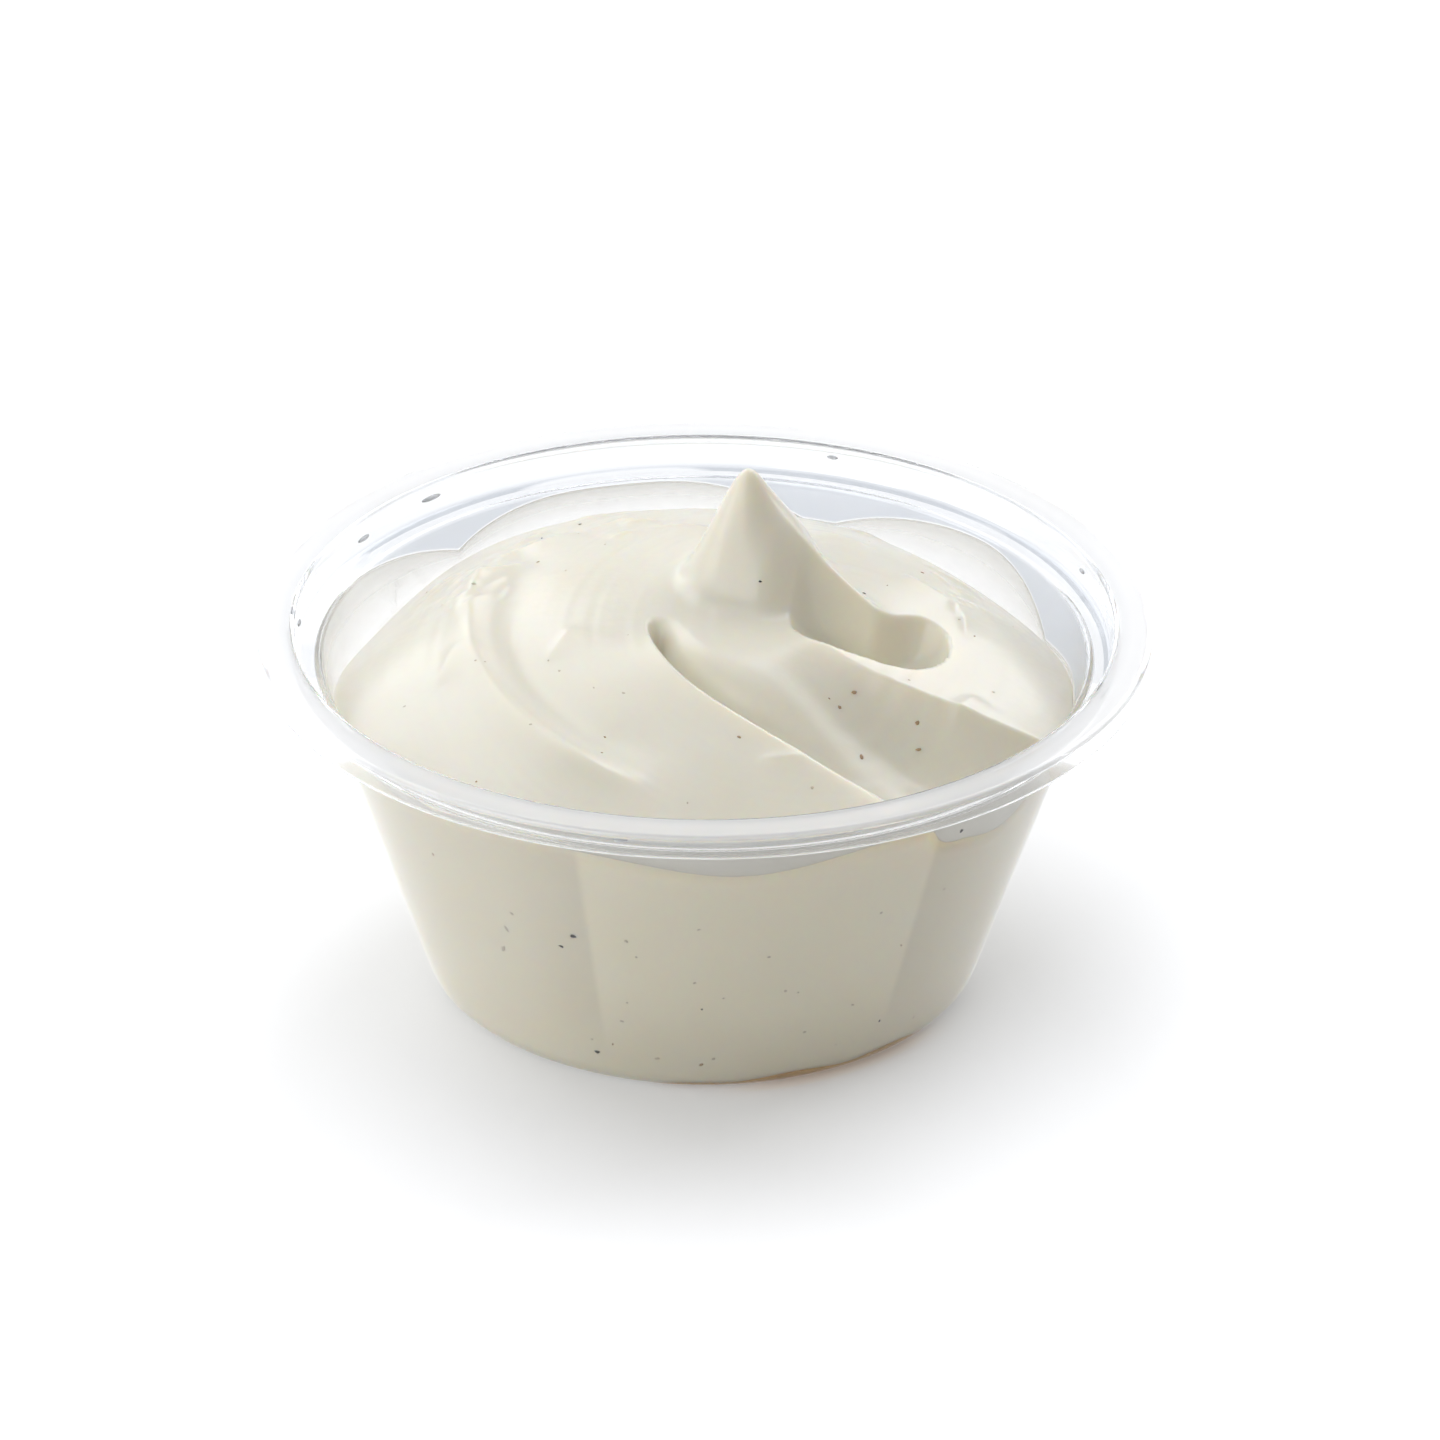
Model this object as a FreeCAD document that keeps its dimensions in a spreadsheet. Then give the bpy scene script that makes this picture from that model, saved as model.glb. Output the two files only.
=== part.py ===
import FreeCAD, Part

import math
import os

import Sketcher

# A clear moulded portion cup, open at the top, filled with truffle sauce.
# Millimetres, +Z up, origin at the centre of the cup's underside.
# The flange's flat top is level; the sauce's front faces -Y.

# Sizes of the cup, a thin shell of one thickness all over.
CUP_SIZES = {
    "wall": 0.5,
    "cup_height": 32.0,
    "rim_diameter": 75.0,
    "flange_width": 3.2,
    "skirt_height": 2.1,
    "neck_depth": 2.9,
    "neck_taper": 0.15,
    "ledge_width": 2.0,
    "base_diameter": 46.8,
    "foot_width": 3.2,
    "foot_height": 0.4,
    "base_corner": 1.2,
    "ledge_corner": 0.5,
    "neck_corner": 0.4,
    "skirt_corner": 0.45,
}

# Sizes of the sauce's mound: how far its edge lies under the cup's ledge, how that
# edge sways round the cup, and how far the mound rises to its middle and leans
# back. Angles are degrees from +X about +Z.
MOUND_SIZES = {
    "sauce_clearance": 0.05,
    "fill_below_ledge": 3.1,
    "edge_swing": 0.4,
    "edge_swing_angle": 240.0,
    "edge_reach": 5.0,
    "mound_rise": 7.0,
    "mound_fullness": 2.1,
    "mound_lean": 2.2,
    "surface_step": 1.0,
}

# Where the sauce's edge sinks at the wall: its direction, how far the dip spreads
# to each side of it, and its depth.
DIPS = {
    "left_dip": {"angle": 158.0, "spread": 24.0, "depth": 3.7},
    "right_dip": {"angle": 30.0, "spread": 30.0, "depth": 2.8},
    "front_dip": {"angle": 276.0, "spread": 15.0, "depth": 2.4},
}

# The peak that the spoon pulled up: a cone with a slope of its own on each side,
# a thin tip, and a fin drawn out along the peak's axis.
PEAK_SIZES = {
    "peak_x": 3.6,
    "peak_y": 6.0,
    "peak_angle": -25.0,
    "peak_height": 9.8,
    "peak_slope_right": 0.67,
    "peak_slope_left": 2.4,
    "peak_slope_front": 2.0,
    "peak_slope_back": 1.7,
    "peak_bluntness": 1.1,
    "peak_foot": 1.0,
    "tip_radius": 1.1,
    "tip_sharpness": 1.3,
    "tip_drop": 1.8,
    "fin_slope": 1.6,
    "fin_edge": 0.6,
    "fin_start": 3.0,
    "fin_growth": 5.0,
    "fin_end": 11.5,
}

# The hollow that the spoon left in front of the fin: its reach to each side, and
# how steeply it goes down there, from 0.5 for a round bowl's side to 2 for a gentle
# slope. The fin's edge bounds it at the back.
HOLLOW_SIZES = {
    "hollow_x": 15.5,
    "hollow_y": -2.0,
    "hollow_angle": -18.0,
    "hollow_depth": 5.2,
    "hollow_squareness": 2.2,
    "hollow_reach_right": 4.9,
    "hollow_reach_left": 8.6,
    "hollow_reach_front": 5.0,
    "hollow_reach_back": 5.6,
    "hollow_ease_right": 0.7,
    "hollow_ease_left": 1.0,
    "hollow_ease_front": 0.6,
    "hollow_ease_back": 0.8,
    "hollow_margin": 2.5,
    "hollow_past_fin": 4.0,
}

# Each fold of the swirl runs along an arm that winds outwards round a centre.
# Its crest stands proud, and a groove lies on one side of it: groove_side is
# -1 for the side towards the centre and 1 for the far side. The crest and the
# groove grow over a share of the fold's length.
FOLDS = {
    "front_fold": {
        "centre_x": 10.0,
        "centre_y": -2.0,
        "start_angle": 177.0,
        "sweep": 106.0,
        "start_radius": 14.8,
        "end_radius": 22.3,
        "bend": 5.0,
        "crest": 0.8,
        "crest_width": 4.0,
        "crest_growth": 0.3,
        "groove": 2.4,
        "groove_side": -1.0,
        "groove_width_start": 1.0,
        "groove_width_end": 2.6,
        "groove_start": 0.0,
        "groove_growth": 0.12,
        "roundness": 0.2,
    },
    "right_fold": {
        "centre_x": 17.0,
        "centre_y": 0.0,
        "start_angle": 190.0,
        "sweep": 118.0,
        "start_radius": 8.9,
        "end_radius": 15.6,
        "bend": 5.0,
        "crest": 0.8,
        "crest_width": 4.0,
        "crest_growth": 0.25,
        "groove": 4.4,
        "groove_side": 1.0,
        "groove_width_start": 3.0,
        "groove_width_end": 6.5,
        "groove_start": 0.15,
        "groove_growth": 0.6,
        "roundness": 0.2,
    },
    "left_fold": {
        "centre_x": 17.0,
        "centre_y": 1.0,
        "start_angle": 150.0,
        "sweep": 66.0,
        "start_radius": 37.2,
        "end_radius": 34.8,
        "bend": 3.0,
        "crest": 1.1,
        "crest_width": 1.8,
        "crest_growth": 0.3,
        "groove": 0.6,
        "groove_side": -1.0,
        "groove_width_start": 2.6,
        "groove_width_end": 2.6,
        "groove_start": 0.0,
        "groove_growth": 0.3,
        "roundness": 0.8,
    },
}

# A fold fades out over this share of its length, past its end.
FOLD_SIZES = {"fold_fade": 0.25}

document = FreeCAD.newDocument("truffle_sauce_cup")


def make_sheet():
    """Write every driving size into the document's spreadsheet, one row each."""
    sheet = document.addObject("Spreadsheet::Sheet", "sizes")
    sheet.Label = "sizes"
    rows = {**CUP_SIZES, **MOUND_SIZES, **PEAK_SIZES, **HOLLOW_SIZES, **FOLD_SIZES}
    for form, values in {**DIPS, **FOLDS}.items():
        for quantity, value in values.items():
            rows[f"{form}_{quantity}"] = value
    for number, (alias, value) in enumerate(rows.items(), start=1):
        sheet.set(f"A{number}", alias)
        sheet.set(f"B{number}", str(value))
        sheet.setAlias(f"B{number}", alias)
    document.recompute()
    return sheet


sizes = make_sheet()

# Radii and heights worked out from the sizes, which the cup and the sauce share.
LEVELS = {
    "rim": "sizes.rim_diameter / 2",
    "skirt_inside": "rim - sizes.wall",
    "neck_top": "rim - sizes.flange_width",
    "neck_top_outside": "neck_top + sizes.wall",
    "neck_foot": "neck_top - sizes.neck_taper",
    "neck_foot_outside": "neck_foot + sizes.wall",
    "body_top": "neck_foot - sizes.ledge_width",
    "body_top_outside": "body_top + sizes.wall",
    "base": "sizes.base_diameter / 2",
    "floor_edge": "base - sizes.wall",
    "push_up": "base - sizes.foot_width",
    "push_up_edge": "push_up - sizes.foot_height",
    "filling_edge": "floor_edge - sizes.sauce_clearance",
    "filling_top": "body_top - sizes.sauce_clearance",
    "top": "sizes.cup_height",
    "flange_under": "top - sizes.wall",
    "skirt_foot": "top - sizes.skirt_height",
    "ledge": "top - sizes.neck_depth",
    "ledge_under": "ledge - sizes.wall",
    "sauce_edge": "ledge - sizes.fill_below_ledge",
    "push_up_under": "sizes.foot_height",
    "push_up_top": "push_up_under + sizes.wall",
    "floor_top": "sizes.wall",
    "above": "2 * top",
}


def make_levels():
    """Bind each radius and height that the pieces share to the sheet's sizes."""
    shared = document.addObject("App::VarSet", "levels")
    shared.Label = "levels"
    for name, expression in LEVELS.items():
        shared.addProperty("App::PropertyFloat", name)
        shared.setExpression(name, expression)
    document.recompute()
    return shared


levels = make_levels()


def level_value(name):
    """The value of a shared radius or height. The axis and the table are 0."""
    return 0.0 if name == "0" else getattr(levels, name)


def revolve_profile(body, name, corners):
    """Revolve a closed outline about Z. Each corner is a shared radius and height."""
    sketch = body.newObject("Sketcher::SketchObject", f"{name}_outline")
    plane = next(item for item in body.Origin.OriginFeatures if item.Role == "XZ_Plane")
    sketch.AttachmentSupport = [(plane, "")]
    sketch.MapMode = "FlatFace"
    places = [FreeCAD.Vector(level_value(across), level_value(up), 0) for across, up in corners]
    for number, place in enumerate(places):
        following = places[(number + 1) % len(places)]
        sketch.addGeometry(Part.LineSegment(place, following), False)
    for number in range(len(places)):
        following = (number + 1) % len(places)
        sketch.addConstraint(Sketcher.Constraint("Coincident", number, 2, following, 1))
    for number, (across, up) in enumerate(corners):
        bind_corner(sketch, number, "DistanceX", -2, across)
        bind_corner(sketch, number, "DistanceY", -1, up)
    revolution = body.newObject("PartDesign::Revolution", f"{name}_revolved")
    revolution.Profile = sketch
    revolution.ReferenceAxis = (sketch, ["V_Axis"])
    revolution.Angle = 360
    document.recompute()
    return revolution


def bind_corner(sketch, line, kind, axis, level):
    """Hold one coordinate of a line's first end: on the axis, or at its level."""
    if level == "0":
        sketch.addConstraint(Sketcher.Constraint("PointOnObject", line, 1, axis))
        return
    label = f"corner_{line}_{'across' if kind == 'DistanceX' else 'up'}"
    sketch.addConstraint(Sketcher.Constraint(kind, -1, 1, line, 1, level_value(level)))
    sketch.renameConstraint(sketch.ConstraintCount - 1, label)
    sketch.setExpression(f"Constraints.{label}", f"levels.{level}")


def round_edges(body, name, base, rounds):
    """Round the circular edges of a revolved body: (radius, height, size) each."""
    feature = base
    for number, (across, up, radius) in enumerate(rounds, start=1):
        edges = [
            f"Edge{index}"
            for index, edge in enumerate(feature.Shape.Edges, start=1)
            if is_ring(edge, level_value(across), level_value(up))
        ]
        fillet = body.newObject("PartDesign::Fillet", f"{name}_round_{number}")
        fillet.Base = (feature, edges)
        fillet.setExpression("Radius", radius)
        document.recompute()
        feature = fillet
    return feature


def is_ring(edge, reach, height):
    """Say whether an edge is the full circle of that radius at that height."""
    if not isinstance(edge.Curve, Part.Circle):
        return False
    centre = edge.Curve.Center
    return abs(edge.Curve.Radius - reach) < 1e-4 and abs(centre.z - height) < 1e-4


def make_cup():
    """The cup: flange with a turned-down skirt, neck, stacking ledge, tapered
    body and a base that is pushed up inside a narrow foot."""
    body = document.addObject("PartDesign::Body", "cup")
    body.Label = "cup"
    outline = [
        ("0", "push_up_under"),
        ("push_up_edge", "push_up_under"),
        ("push_up", "0"),
        ("base", "0"),
        ("body_top_outside", "ledge_under"),
        ("neck_foot_outside", "ledge_under"),
        ("neck_top_outside", "flange_under"),
        ("skirt_inside", "flange_under"),
        ("skirt_inside", "skirt_foot"),
        ("rim", "skirt_foot"),
        ("rim", "top"),
        ("neck_top", "top"),
        ("neck_foot", "ledge"),
        ("body_top", "ledge"),
        ("floor_edge", "floor_top"),
        ("push_up", "floor_top"),
        ("push_up_edge", "push_up_top"),
        ("0", "push_up_top"),
    ]
    shell = revolve_profile(body, "cup", outline)
    rounds = [
        ("base", "0", "sizes.base_corner + sizes.wall"),
        ("floor_edge", "floor_top", "sizes.base_corner"),
        ("neck_foot_outside", "ledge_under", "sizes.ledge_corner + sizes.wall"),
        ("neck_foot", "ledge", "sizes.ledge_corner"),
        ("body_top", "ledge", "sizes.ledge_corner"),
        ("neck_top", "top", "sizes.neck_corner"),
        ("rim", "top", "sizes.skirt_corner"),
    ]
    round_edges(body, "cup", shell, rounds)
    return body


def smooth(share):
    """Ease from 0 to 1 as the share goes from 0 to 1."""
    share = min(max(share, 0.0), 1.0)
    return share * share * (3.0 - 2.0 * share)


def turn_between(angle, other):
    """The signed angle from one direction to another, in degrees."""
    return (angle - other + 180.0) % 360.0 - 180.0


def turned(across, deep, form):
    """Measure a place from the middle of a form, along and beside its own axis."""
    axis = math.radians(getattr(sizes, f"{form}_angle"))
    side = across - getattr(sizes, f"{form}_x")
    back = deep - getattr(sizes, f"{form}_y")
    along = side * math.cos(axis) + back * math.sin(axis)
    return along, back * math.cos(axis) - side * math.sin(axis)


def sides_of(quantity):
    """A form's values of one quantity towards its right, left, front and back."""
    return [getattr(sizes, f"{quantity}_{side}") for side in ("right", "left", "front", "back")]


def by_side(along, beside, sides):
    """Blend the values of a form's four sides at a place, by its direction."""
    right, left, front, back = sides
    lengthwise = right if along > 0.0 else left
    crosswise = back if beside > 0.0 else front
    angle = math.atan2(beside, along)
    return lengthwise * math.cos(angle) ** 2 + crosswise * math.sin(angle) ** 2


def rounded_off(distance, radius):
    """A distance whose cone is rounded off at its tip."""
    return math.hypot(distance, radius) - radius


def mound_height(across, deep):
    """Height of the plain mound, from its uneven edge on the wall to its middle."""
    reach = math.hypot(across, deep) / levels.body_top
    angle = math.degrees(math.atan2(deep, across))
    edge = sizes.edge_swing * math.cos(math.radians(angle - sizes.edge_swing_angle))
    for dip in DIPS:
        away = turn_between(angle, getattr(sizes, f"{dip}_angle"))
        away /= getattr(sizes, f"{dip}_spread")
        edge -= getattr(sizes, f"{dip}_depth") * math.exp(-away * away)
    rise = sizes.mound_rise * (1.0 - min(reach, 1.0) ** sizes.mound_fullness)
    lean = sizes.mound_lean * deep / levels.body_top * max(1.0 - reach * reach, 0.0)
    return levels.sauce_edge + rise + lean + edge * reach ** sizes.edge_reach


def peak_height(across, deep):
    """Height that the peak adds: a cone with a thin tip, which a steep fin takes
    over to its right. Its foot flares softly into the mound."""
    along, beside = turned(across, deep, "peak")
    away = rounded_off(math.hypot(along, beside), sizes.peak_bluntness)
    tip = 1.0 - math.exp(-((away / sizes.tip_radius) ** sizes.tip_sharpness))
    cone = by_side(along, beside, sides_of("peak_slope")) * away
    cone += by_side(along, beside, [sizes.tip_drop, 0.0, 0.0, 0.0]) * tip
    fin = sizes.peak_slope_right * along + sizes.tip_drop
    fin += sizes.fin_slope * rounded_off(beside, sizes.fin_edge)
    turning = smooth((along - sizes.fin_start) / sizes.fin_growth)
    above = (sizes.peak_height - cone - (fin - cone) * turning) / sizes.peak_foot
    return sizes.peak_foot * (max(above, 0.0) + math.log1p(math.exp(-abs(above))))


def hollow_depth(across, deep):
    """Depth of the hollow: a steep lip in front, and the fin's edge for its back."""
    along, beside = turned(across, deep, "hollow")
    power = sizes.hollow_squareness
    away = (abs(along) ** power + abs(beside) ** power) ** (1.0 / power)
    share = away / by_side(along, beside, sides_of("hollow_reach"))
    inside = max(1.0 - share * share, 0.0) ** by_side(along, beside, sides_of("hollow_ease"))
    along, beside = turned(across, deep, "peak")
    past_fin = smooth((along - sizes.fin_end) / sizes.hollow_past_fin)
    bound = sizes.hollow_past_fin * past_fin - beside
    return sizes.hollow_depth * inside * smooth(bound / sizes.hollow_margin)


def fold_height(fold, across, deep):
    """Height that one fold adds: its crest, less the groove beside it."""
    size = {quantity: getattr(sizes, f"{fold}_{quantity}") for quantity in FOLDS[fold]}
    side = across - size["centre_x"]
    back = deep - size["centre_y"]
    middle = size["start_angle"] + size["sweep"] / 2
    turned_by = turn_between(math.degrees(math.atan2(back, side)), middle)
    share = turned_by / size["sweep"] + 0.5
    wound = min(max(share, 0.0), 1.0 + sizes.fold_fade)
    growth = size["end_radius"] - size["start_radius"]
    radius = size["start_radius"] + growth * wound ** size["bend"]
    pitch = growth * size["bend"] * wound ** (size["bend"] - 1.0) / math.radians(size["sweep"])
    away = (math.hypot(side, back) - radius) * radius / math.hypot(radius, pitch)
    crest = math.exp(-rounded_off(away, size["roundness"]) / size["crest_width"])
    crest *= size["crest"] * smooth(share / size["crest_growth"])
    width = size["groove_width_end"] - size["groove_width_start"]
    width = size["groove_width_start"] + width * wound
    into = rounded_off(max(away * size["groove_side"], 0.0), size["roundness"]) / width
    groove = size["groove"] * into * math.exp((1.0 - into * into) / 2)
    groove *= smooth((share - size["groove_start"]) / size["groove_growth"])
    return (crest - groove) * smooth((1.0 + sizes.fold_fade - share) / sizes.fold_fade)


def sauce_height(across, deep):
    """Height of the sauce's top above the cup's underside."""
    height = mound_height(across, deep) + peak_height(across, deep)
    height -= hollow_depth(across, deep)
    for fold in FOLDS:
        height += fold_height(fold, across, deep)
    return height


def make_swirl():
    """A block whose top is the sauce's surface, wider than the cavity all round."""
    reach = levels.neck_top
    count = 2 * math.ceil(reach / sizes.surface_step)
    places = [reach * (2.0 * number / count - 1.0) for number in range(count + 1)]
    rows = [
        [FreeCAD.Vector(across, deep, sauce_height(across, deep)) for deep in places]
        for across in places
    ]
    surface = Part.BSplineSurface()
    surface.interpolate(rows)
    swirl = document.addObject("Part::Feature", "swirl")
    swirl.Shape = surface.toShape().extrude(FreeCAD.Vector(0, 0, -levels.above))
    swirl.Placement = FreeCAD.Placement()
    return swirl


def make_sauce():
    """The sauce: the cup's cavity, filled up to the swirled surface."""
    cavity = document.addObject("PartDesign::Body", "cavity")
    cavity.Label = "cavity"
    outline = [
        ("0", "push_up_top"),
        ("push_up_edge", "push_up_top"),
        ("push_up", "floor_top"),
        ("filling_edge", "floor_top"),
        ("filling_top", "ledge"),
        ("filling_top", "above"),
        ("0", "above"),
    ]
    filling = revolve_profile(cavity, "cavity", outline)
    round_edges(cavity, "cavity", filling, [("filling_edge", "floor_top", "sizes.base_corner")])
    sauce = document.addObject("Part::MultiCommon", "sauce")
    sauce.Label = "sauce"
    sauce.Shapes = [cavity, make_swirl()]
    document.recompute()
    return sauce


def check_and_write(parts):
    """Check every object of the document, then write each piece to its file."""
    document.recompute()
    for item in document.Objects:
        if {"Invalid", "Error"} & set(item.State):
            raise RuntimeError(f"{item.Label} is {item.State}")
    for piece in parts:
        if piece.Shape.isNull() or not piece.Shape.isValid():
            raise RuntimeError(f"{piece.Label} has no valid shape")
    os.makedirs("parts", exist_ok=True)
    for piece in parts:
        piece.Shape.exportStep(f"parts/{piece.Label}.step")


check_and_write([make_cup(), make_sauce()])
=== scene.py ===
import math

import bpy
import numpy as np
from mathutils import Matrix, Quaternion, Vector


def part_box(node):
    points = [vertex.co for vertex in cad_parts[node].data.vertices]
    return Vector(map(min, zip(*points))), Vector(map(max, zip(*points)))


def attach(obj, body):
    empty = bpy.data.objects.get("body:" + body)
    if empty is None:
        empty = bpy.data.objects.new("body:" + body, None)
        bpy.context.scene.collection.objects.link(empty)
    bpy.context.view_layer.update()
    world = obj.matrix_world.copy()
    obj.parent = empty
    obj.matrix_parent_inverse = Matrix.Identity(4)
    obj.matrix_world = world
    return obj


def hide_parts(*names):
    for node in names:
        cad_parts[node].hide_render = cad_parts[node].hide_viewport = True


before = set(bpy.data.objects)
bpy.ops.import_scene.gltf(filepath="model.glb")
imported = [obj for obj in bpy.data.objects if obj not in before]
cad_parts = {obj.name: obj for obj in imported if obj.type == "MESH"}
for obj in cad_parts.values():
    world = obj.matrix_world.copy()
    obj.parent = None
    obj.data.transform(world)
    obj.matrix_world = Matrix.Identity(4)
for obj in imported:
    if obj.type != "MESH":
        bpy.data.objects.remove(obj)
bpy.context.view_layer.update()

# ---------------------------------------------------------------- the cup
# A portion cup moulded in one shot from clear polypropylene, the same thin
# wall all over: flange with a turned-down skirt, short neck, stacking ledge,
# tapered body and a base pushed up inside a narrow foot.

cup_low, cup_high = (Vector(corner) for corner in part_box("cup"))
rim_radius = (cup_high.x - cup_low.x) / 2
cup_height = cup_high.z - cup_low.z
wall = 0.0005
flange_width = 0.0032
skirt_height = 0.0021
neck_depth = 0.0029
neck_taper = 0.00015
ledge_width = 0.002
base_radius = 0.0234
foot_width = 0.0032
foot_height = 0.0004

neck_top = rim_radius - flange_width
neck_foot = neck_top - neck_taper
body_top = neck_foot - ledge_width
floor_edge = base_radius - wall
push_up = base_radius - foot_width
ledge_level = cup_height - neck_depth
skirt_foot = cup_height - skirt_height

# How much each corner of the wall's outline is rounded.
edge_rounding = 0.0002
panel_rounding = 0.0003
lip_rounding = 0.0004
rim_rounding = 0.00045
ledge_rounding = 0.0005
neck_rounding = 0.001
base_rounding = 0.0017

# Shrinkage leaves the cup a hair out of round: as an oval, and in five waves.
oval = 0.0006
five_waves = 0.0004

longest_stretch = 0.0016
turns_of_cup = 640


def rounded_outline(corners, steps=7):
    """Walk a closed outline of (across, up, rounding) corners, each rounded by an arc."""
    walked = []
    for number, (across, up, rounding) in enumerate(corners):
        here = Vector((across, up))
        before = Vector(corners[number - 1][:2]) - here
        after = Vector(corners[(number + 1) % len(corners)][:2]) - here
        half = before.angle(after) / 2
        reach = rounding / math.tan(half)
        middle = (before.normalized() + after.normalized()).normalized()
        centre = here + middle * rounding / math.sin(half)
        first = here + before.normalized() * reach - centre
        turn = first.angle_signed(here + after.normalized() * reach - centre)
        for step in range(steps + 1):
            angle = -turn * step / steps
            cosine, sine = math.cos(angle), math.sin(angle)
            swung = (first.x * cosine - first.y * sine, first.x * sine + first.y * cosine)
            walked.append(centre + Vector(swung))
    return np.array([(point.x, point.y) for point in walked])


def lay_out(outline, longest):
    """Divide the outline's long straights so that no stretch is longer than that."""
    laid = []
    for start, end in zip(outline[:-1], outline[1:]):
        pieces = max(1, math.ceil(np.linalg.norm(end - start) / longest))
        laid.extend(start + (end - start) * piece / pieces for piece in range(pieces))
    return np.array(laid + [outline[-1]])


def points_round(radius, bearing, level):
    """Points at a radius from the cup's axis, in these directions and at this level."""
    across = radius * np.cos(bearing)
    return np.stack([across, radius * np.sin(bearing), np.broadcast_to(level, across.shape)], -1)


def faces_between(*corners):
    """Faces whose corners are numbered by these arrays, one array for each corner."""
    return np.stack([corner.ravel() for corner in corners], -1).tolist()


def mesh_piece(name, points, faces):
    """Make a smooth-shaded object of these points and faces."""
    mesh = bpy.data.meshes.new(name)
    mesh.from_pydata(points, [], faces)
    mesh.update()
    mesh.shade_smooth()
    piece = bpy.data.objects.new(name, mesh)
    bpy.context.scene.collection.objects.link(piece)
    return piece


cup_corners = [
    (push_up - foot_height, foot_height, panel_rounding),
    (push_up, 0.0, panel_rounding),
    (base_radius, 0.0, base_rounding),
    (body_top + wall, ledge_level - wall, edge_rounding),
    (neck_foot + wall, ledge_level - wall, neck_rounding),
    (neck_top + wall, cup_height - wall, edge_rounding),
    (rim_radius - wall, cup_height - wall, edge_rounding),
    (rim_radius - wall, skirt_foot, edge_rounding),
    (rim_radius, skirt_foot, edge_rounding),
    (rim_radius, cup_height, rim_rounding),
    (neck_top, cup_height, lip_rounding),
    (neck_foot, ledge_level, ledge_rounding),
    (body_top, ledge_level, ledge_rounding),
    (floor_edge, wall, base_rounding - wall),
    (push_up, wall, panel_rounding),
    (push_up - foot_height, foot_height + wall, panel_rounding),
]


def spin_shell(outline, turns):
    """Spin an outline once round Z. Both of its ends close on the axis."""
    bearing = np.linspace(0.0, 2 * np.pi, turns, endpoint=False)[:, None]
    swell = 1.0 + oval * np.sin(2 * bearing + 0.7) + five_waves * np.sin(5 * bearing + 2.0)
    radius = outline[:, 0] * swell / (1.0 + oval + five_waves)
    points = points_round(radius, bearing, outline[:, 1]).reshape(-1, 3)
    here = np.arange(len(points)).reshape(radius.shape)
    there = np.roll(here, -1, axis=0)
    faces = faces_between(here[:, :-1], there[:, :-1], there[:, 1:], here[:, 1:])
    hubs = [(0.0, 0.0, outline[0, 1]), (0.0, 0.0, outline[-1, 1])]
    under = np.full(turns, len(points))
    faces += faces_between(here[:, 0], under, there[:, 0])
    faces += faces_between(here[:, -1], there[:, -1], under + 1)
    return np.vstack([points, hubs]), faces


cup_outline = lay_out(rounded_outline(cup_corners), longest_stretch)
cup_piece = mesh_piece("clear_cup", *spin_shell(cup_outline, turns_of_cup))


def mark_points(piece, mark, values, kind="FLOAT"):
    """Keep a value for each point of the piece, for its material to read."""
    kept = piece.data.attributes.new(mark, kind, "POINT")
    kept.data.foreach_set("value" if kind == "FLOAT" else "color", values.ravel())


def points_of(piece):
    """The places of all points of a piece."""
    return np.array([vertex.co for vertex in piece.data.vertices])


def tree_of(holder):
    """The nodes and links of a material or world."""
    holder.use_nodes = True
    return holder.node_tree.nodes, holder.node_tree.links


def start_material(name, **settings):
    """Begin a material, whose nodes follow. The settings are its shader's plain values."""
    global nodes, links
    material = bpy.data.materials.new(name)
    nodes, links = tree_of(material)
    shader = nodes["Principled BSDF"]
    for label, value in settings.items():
        shader.inputs[label.replace("_", " ")].default_value = value
    return material, shader


def start_group(name, inputs, outputs):
    """Begin a node group with named sockets, whose nodes follow."""
    global nodes, links
    group = bpy.data.node_groups.new(name, "ShaderNodeTree")
    nodes, links = group.nodes, group.links
    for way, sockets in (("INPUT", inputs), ("OUTPUT", outputs)):
        for label, kind in sockets.items():
            group.interface.new_socket(label, in_out=way, socket_type="NodeSocket" + kind)
    return group, add_node("NodeGroupInput").outputs, add_node("NodeGroupOutput").inputs


def feed(socket, source):
    """Give a socket a plain value, or link another node's output to it."""
    if isinstance(source, bpy.types.NodeSocket):
        links.new(source, socket)
    else:
        socket.default_value = source


def add_node(kind, *sources, **settings):
    """Add a node to the material or group in hand. Sources feed its inputs in order. A
    setting is one of the node's own, or feeds the input of that name."""
    node = nodes.new(kind)
    for name, setting in settings.items():
        if hasattr(node, name):
            setattr(node, name, setting)
        else:
            feed(node.inputs[name.replace("_", " ")], setting)
    for socket, source in zip(node.inputs, sources):
        feed(socket, source)
    return node


def reckon(operation, *terms):
    """The output of one maths node."""
    return add_node("ShaderNodeMath", *terms, operation=operation).outputs[0]


def largest_of(*masks):
    """Join masks so that each place takes the largest of them."""
    joined = masks[0]
    for mask in masks[1:]:
        joined = reckon("MAXIMUM", joined, mask)
    return joined


def ramp(value, start, end, low=0.0, high=1.0, way="LINEAR"):
    """Let a value that runs from start to end run from low to high."""
    return add_node(
        "ShaderNodeMapRange", interpolation_type=way, Value=value,
        From_Min=start, From_Max=end, To_Min=low, To_Max=high,
    ).outputs["Result"]


def blend(share, first, second):
    """Go from the first colour to the second as the share grows."""
    return add_node("ShaderNodeMix", data_type="RGBA", Factor=share, A=first, B=second).outputs["Result"]


def place_group(group, **values):
    """Place a node group in the material in hand, on the piece's own coordinates."""
    place = add_node("ShaderNodeTexCoord").outputs["Object"]
    return add_node("ShaderNodeGroup", node_tree=group, Place=place, **values).outputs


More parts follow.
